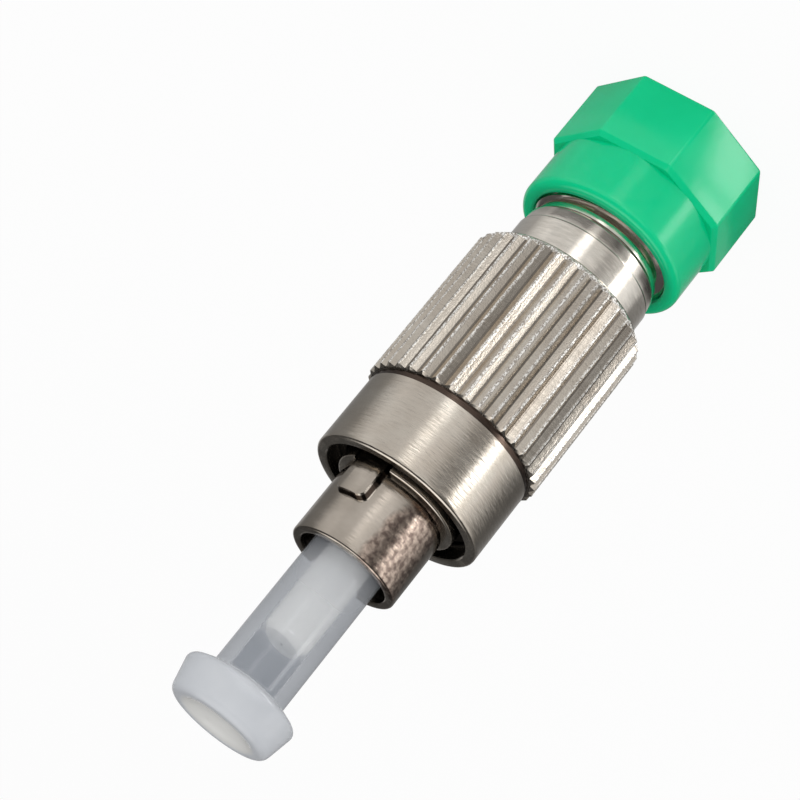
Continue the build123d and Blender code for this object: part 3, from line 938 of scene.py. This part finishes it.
# %% Green polyethylene
green_plastic, tree = new_material("moulded_green_polyethylene")
place = node(tree, "TexCoord", out="Object")
flow = node(tree, "TexNoise", {"Vector": place, "Scale": 0.35 * PER_MM, "Detail": 2.0}, "Fac")
waves = node(tree, "TexNoise", {"Vector": place, "Scale": 1.4 * PER_MM, "Detail": 1.0}, "Fac")
grain = node(tree, "TexNoise", {"Vector": place, "Scale": 5 * PER_MM, "Detail": 3.0}, "Fac")
colour = node(tree, "Mix", {0: flow, 6: linear("#02C082"), 7: linear("#04CC8E")}, 2, data_type="RGBA")
skin = node(tree, "Math", [waves, 4.0, grain], operation="MULTIPLY_ADD")
bump = node(tree, "Bump", {"Height": skin, "Strength": 0.12, "Distance": RELIEF})
shader = node(tree, "BsdfPrincipled", {
    "Base Color": colour, "Roughness": node(tree, "MapRange", [flow, 0.3, 0.7, 0.1, 0.17]), "IOR": 1.51,
    "Subsurface Weight": 0.2, "Subsurface Radius": (0.0004, 0.0012, 0.0008), "Subsurface Scale": 1.0,
    "Normal": bump,
})
node(tree, "OutputMaterial", {"Surface": shader})
dress(green_plastic, barrel_cap)

# %% [markdown]
# ## Zirconia, glass and spring steel
#
# Zirconia is a dense white ceramic, ground and polished until it shines like enamel. The fibre is silica
# glass. The ring and the spring are steel wire and strip with a faint grain along the drawing.

# %% Zirconia, glass and spring steel
zirconia, tree = new_material("ground_zirconia")
place = node(tree, "TexCoord", out="Object")
cloud = node(tree, "TexNoise", {"Vector": place, "Scale": 0.9 * PER_MM, "Detail": 2.0}, "Fac")
colour = node(tree, "Mix", {0: cloud, 6: linear("#F4F3EF"), 7: linear("#FBFAF7")}, 2, data_type="RGBA")
shader = node(tree, "BsdfPrincipled", {
    "Base Color": colour, "Roughness": 0.18, "IOR": 2.1, "Subsurface Weight": 0.1,
    "Subsurface Radius": (0.0004, 0.0004, 0.0004), "Subsurface Scale": 1.0,
})
node(tree, "OutputMaterial", {"Surface": shader})
dress(zirconia, ferrule, split_sleeve)

glass, tree = new_material("silica_glass_fibre")
shader = node(tree, "BsdfPrincipled", {
    "Base Color": linear("#F4F8F8"), "Roughness": 0.03, "IOR": 1.46, "Transmission Weight": 1.0
})
node(tree, "OutputMaterial", {"Surface": shader})
dress(glass, fibre_stub)

steel, tree = new_material("drawn_spring_steel")
place = node(tree, "TexCoord", out="Object")
drawn = node(tree, "TexNoise", {"Vector": place, "Scale": 4 * PER_MM, "Detail": 2.0}, "Fac")
rough = node(tree, "MapRange", [drawn, 0.0, 1.0, 0.25, 0.45])
shader = node(tree, "BsdfPrincipled", {
    "Base Color": linear("#B9B7B3"), "Metallic": 1.0, "Roughness": rough
})
node(tree, "OutputMaterial", {"Surface": shader})
dress(steel, nut_ring, ferrule_spring)

# %% [markdown]
# ## Clear vinyl
#
# The dust cover is a soft clear vinyl with a thick wall. It is milky rather than glassy, most of all in
# the thick head and near its mouth, where it clings to the ferrule. Only its bore is clear: white where
# it lies on the ferrule and grey where it is empty, so that the ferrule's tip shows. Its skin is glossy.
# It stops hardly any light, so it casts no shadow and the ferrule inside is lit as if it stood free.

# %% The milky colours of the cover
vinyl, tree = new_material("clear_soft_vinyl")
look = measure(tree)
cloud = node(tree, "TexNoise", {"Vector": look["place"], "Scale": 0.6 * PER_MM, "Detail": 2.0}, "Fac")
tube = node(tree, "Mix", {0: cloud, 6: linear("#A7AAAF"), 7: linear("#B1B4B8")}, 2, data_type="RGBA")
head = node(tree, "Mix", {0: cloud, 6: linear("#C2C5CA"), 7: linear("#CFD1D4")}, 2, data_type="RGBA")
in_head = within(look, ("height", 36.5, 36.9))
look["colour"] = node(tree, "Mix", {0: in_head, 6: tube, 7: head}, 2, data_type="RGBA")
shaded("#DCDAD5", ("height", 38.2, 38.6), ("radius", 2.2, 1.9))(look)
empty = within(look, ("height", 33.8, 34.5))
lining = node(tree, "Mix", {0: empty, 6: linear("#FFFFFF"), 7: linear("#BFC3C9")}, 2, data_type="RGBA")
bore = within(look, ("height", 37.5, 37.1), ("radius", 1.4, 1.3))
look["colour"] = node(tree, "Mix", {0: bore, 6: look["colour"], 7: lining}, 2, data_type="RGBA")
print("the milk takes", len(tree.nodes), "nodes")

# %% [markdown]
# ## How clear the cover is
#
# Transmission says how much of the light goes through instead of being scattered. It rises from half at
# the mouth to three quarters over the tip of the ferrule, drops in the head, and is highest in the bore.
# The wall bends light hardly at all, so that what is inside isn't magnified, and a coat gives it its
# gloss.

# %% Clear vinyl
clarity = node(tree, "MapRange", [look["height"], 28.0 / PER_MM, 34.5 / PER_MM, 0.5, 0.77])
milk = node(tree, "MapRange", [look["height"], 36.6 / PER_MM, 37.0 / PER_MM, 0.0, 0.32])
clarity = node(tree, "Math", [clarity, milk], operation="SUBTRACT")
clarity = node(tree, "Mix", {0: bore, 2: clarity, 3: 0.93})
shader = node(tree, "BsdfPrincipled", {
    "Base Color": look["colour"], "Roughness": 0.04, "IOR": 1.06, "Transmission Weight": clarity,
    "Coat Weight": 0.6, "Coat Roughness": 0.08, "Coat IOR": 1.5,
})
node(tree, "OutputMaterial", {"Surface": shader})
dress(vinyl, ferrule_cap)
ferrule_cap.visible_shadow = False
ferrule_cap.visible_diffuse = False

# %% [markdown]
# ## The floor
#
# The part stands on a sheet of pale paper. The camera sees the paper almost as its own even white, and a
# small share of it as lit paper, which keeps the soft shadow of the part. What shines through the clear
# cover sees the same, and reflections see the studio of the next cells instead.

# %% The floor
EVEN_SHARE = 0.92
deselect()
bpy.ops.mesh.primitive_plane_add(size=6, location=(0, 0, 0))
floor = bpy.context.object
floor.name = "pale_floor"
to_mode("EDIT")
bpy.ops.mesh.subdivide(number_cuts=3)
to_mode("OBJECT")
floor.visible_glossy = False
paper, tree = new_material("pale_paper")
seen = node(tree, "LightPath", out="Is Camera Ray")
through = node(tree, "LightPath", out="Is Transmission Ray")
seen = node(tree, "Math", [seen, through], operation="MAXIMUM")
share = node(tree, "Math", [seen, EVEN_SHARE], operation="MULTIPLY")
matt = node(tree, "BsdfPrincipled", {"Base Color": linear("#FAFAFA"), "Roughness": 0.9})
even = node(tree, "Emission", {"Color": linear("#FFFFFF"), "Strength": 1.0})
node(tree, "OutputMaterial", {"Surface": node(tree, "MixShader", [share, matt, even])})
dress(paper, floor)

# %% [markdown]
# ## White and black cards
#
# Metal has no colour of its own but what it mirrors, so a photographer sets white and black cards round a
# shiny part. Here they are a ring of brightness round the horizon, written as bearings and levels, with a
# bright window at the back. The top of the part mirrors higher up than its foot, where the cards lean.

# %% The cards round the horizon
WINDOW = 5.0
CARD = 0.8
LEAN = 14 / 360
# Bearing in degrees and brightness, from the back round the camera's side
CARDS = [
    (-180, WINDOW), (-178.5, 3.2), (-175.5, 0.4), (-164, 0.28), (-158, 0.2), (-148, 0.22), (-140, 0.6),
    (-132, 0.75), (-120, 0.8), (-115, 1.6), (-112, 2.2), (-105, 2.2), (-101, 1.4), (-97, 0.72), (-60, 0.66),
    (-50, 0.8), (-30, 0.58), (-15, 0.25), (25, 0.2), (42, 0.42), (60, 0.4), (80, 0.2), (100, 0.11),
    (125, 0.13), (140, 0.4), (152, 0.85), (162, 0.9), (167, 1.4), (170.5, WINDOW),
]
world = bpy.data.worlds.new("studio")
bpy.context.scene.world = world
world.use_nodes = True
tree = world.node_tree
tree.nodes.clear()
direction = node(tree, "TexCoord", out="Generated")
across = node(tree, "SeparateXYZ", [direction], "X")
along = node(tree, "SeparateXYZ", [direction], "Y")
height = node(tree, "SeparateXYZ", [direction], "Z")
bearing = node(tree, "Math", [along, across], operation="ARCTAN2")
bearing = node(tree, "MapRange", [bearing, -pi, pi])
lean = node(tree, "MapRange", [height, -0.335, -0.31, 0.0, LEAN])
bearing = node(tree, "Math", [bearing, lean], operation="ADD")
bearing = node(tree, "Math", [bearing], operation="FRACT")
panels = node(tree, "ValToRGB", [bearing], "Color")
ramp = panels.node.color_ramp
while len(ramp.elements) < len(CARDS):
    ramp.elements.new(0.5)
for element, (degrees_round, level) in zip(ramp.elements, CARDS):
    element.position = (degrees_round + 180) / 360
    element.color = (level / WINDOW, level / WINDOW, level / WINDOW, 1)
print("cards:", len(ramp.elements))

# %% [markdown]
# ## What changes with height
#
# Each part of the object mirrors another height of the room. The window and the brightest cards end below
# what the plug mirrors. A strip of paper lies where the polished band looks, and lower down the green cap
# has dark cards at its sides and keeps the bright ones in front and behind. The ceiling is dim, with a
# brighter middle for the chamfers that look up.

# %% Cards, paper and ceiling by height
dim = node(tree, "Math", [panels, CARD / WINDOW], operation="MINIMUM")
bright = node(tree, "Math", [panels, dim], operation="SUBTRACT")
window_end = node(tree, "MapRange", [height, -0.375, -0.325, 1.0, 0.15])
mirrored = node(tree, "Math", [bright, window_end, dim], operation="MULTIPLY_ADD")

paper_top = node(tree, "MapRange", [height, -0.45, -0.43, 0.7, 0.0])
paper_side = node(tree, "MapRange", [across, -0.62, -0.5, 1.0, 0.3])
paper_foot = node(tree, "MapRange", [height, -0.5, -0.485, 0.15, 1.0])
paper_share = node(tree, "Math", [paper_top, paper_side], operation="MULTIPLY")
paper_share = node(tree, "Math", [paper_share, paper_foot], operation="MULTIPLY")
mirrored = node(tree, "Mix", {0: paper_share, 2: mirrored, 3: CARD / WINDOW})

sideways = node(tree, "Math", [along], operation="ABSOLUTE")
dark_side = node(tree, "MapRange", [sideways, 0.25, 0.45, 0.0, 0.75])
cap_height = node(tree, "MapRange", [height, -0.487, -0.478, 1.0, 0.0])
dark_share = node(tree, "Math", [dark_side, cap_height], operation="MULTIPLY")
mirrored = node(tree, "Mix", {0: dark_share, 2: mirrored, 3: 0.0})

ceiling = node(tree, "MapRange", [height, 0.7, 0.9, 0.012, 0.3])
above_horizon = node(tree, "MapRange", [height, 0.05, 0.2])
mirrored = node(tree, "Mix", {0: above_horizon, 2: mirrored, 3: ceiling})
print("cards, paper and ceiling take", len(tree.nodes), "nodes")

# %% [markdown]
# ## Who sees what
#
# Only reflections see the cards. The camera, and what is seen through the clear cover, get plain white.
# All other light is a soft even sky, a little weaker from above, at which a colour renders about as
# written.

# %% The world
sky_level = node(tree, "MapRange", [height, 0.0, 1.0, 1.04, 0.55])
sky = node(tree, "Background", {"Color": (1, 1, 1, 1), "Strength": sky_level})
studio = node(tree, "Background", {"Color": mirrored, "Strength": WINDOW})
white = node(tree, "Background", {"Color": (1, 1, 1, 1), "Strength": 1.0})
glossy = node(tree, "LightPath", out="Is Glossy Ray")
seen = node(tree, "LightPath", out="Is Camera Ray")
through = node(tree, "LightPath", out="Is Transmission Ray")
seen = node(tree, "Math", [seen, through], operation="MAXIMUM")
light = node(tree, "MixShader", [glossy, sky, studio])
node(tree, "OutputWorld", {"Surface": node(tree, "MixShader", [seen, light, white])})
print("the world has", len(tree.nodes), "nodes")

# %% [markdown]
# ## The lamp
#
# One broad soft lamp stands to the left of the camera, over the part. It models the green cap and draws
# the shadow on the floor. Reflections don't see it, because the cards have that task.

# %% The lamp
deselect()
bpy.ops.object.light_add(type="AREA", location=(-0.2, -0.28, 0.16))
lamp = bpy.context.object
lamp.name = "soft_lamp"
lamp.data.shape = "DISK"
lamp.data.size = 0.2
lamp.data.energy = 0.42
lamp.visible_glossy = False
lamp.rotation_euler = (Vector((0, 0, 0.015)) - lamp.location).to_track_quat("-Z", "Y").to_euler()
print("the lamp stands", round(lamp.location.length, 2), "m away")

# %% [markdown]
# ## The camera
#
# The camera was found from the photograph: its place in millimetres, and the directions of its right
# side, its top and its view. It is close and rolled, so that the upright part lies across the picture.

# %% The camera
CAMERA_PLACE = Vector((-64.91, -79.18, 60.68)) / PER_MM
CAMERA_RIGHT = Vector((-0.73488, 0.33366, -0.59048))
CAMERA_UP = Vector((0.29392, -0.62798, -0.72061))
CAMERA_FORWARD = Vector((0.61124, 0.70310, -0.36341))
deselect()
bpy.ops.object.camera_add(location=CAMERA_PLACE)
camera = bpy.context.object
camera.name = "photo_camera"
turn = Matrix((CAMERA_RIGHT, CAMERA_UP, -CAMERA_FORWARD)).transposed().to_4x4()
camera.matrix_world = Matrix.Translation(CAMERA_PLACE) @ turn
camera.data.sensor_width = 36
camera.data.lens = 100.6
camera.data.clip_start = 0.005
camera.data.clip_end = 20
bpy.context.scene.camera = camera
bpy.context.scene.view_settings.view_transform = "Standard"
print("the camera stands", round(CAMERA_PLACE.length * PER_MM), "mm from the part's foot")

# %% [markdown]
# ## Finish
#
# Nothing is left selected.

# %% Finish
deselect()
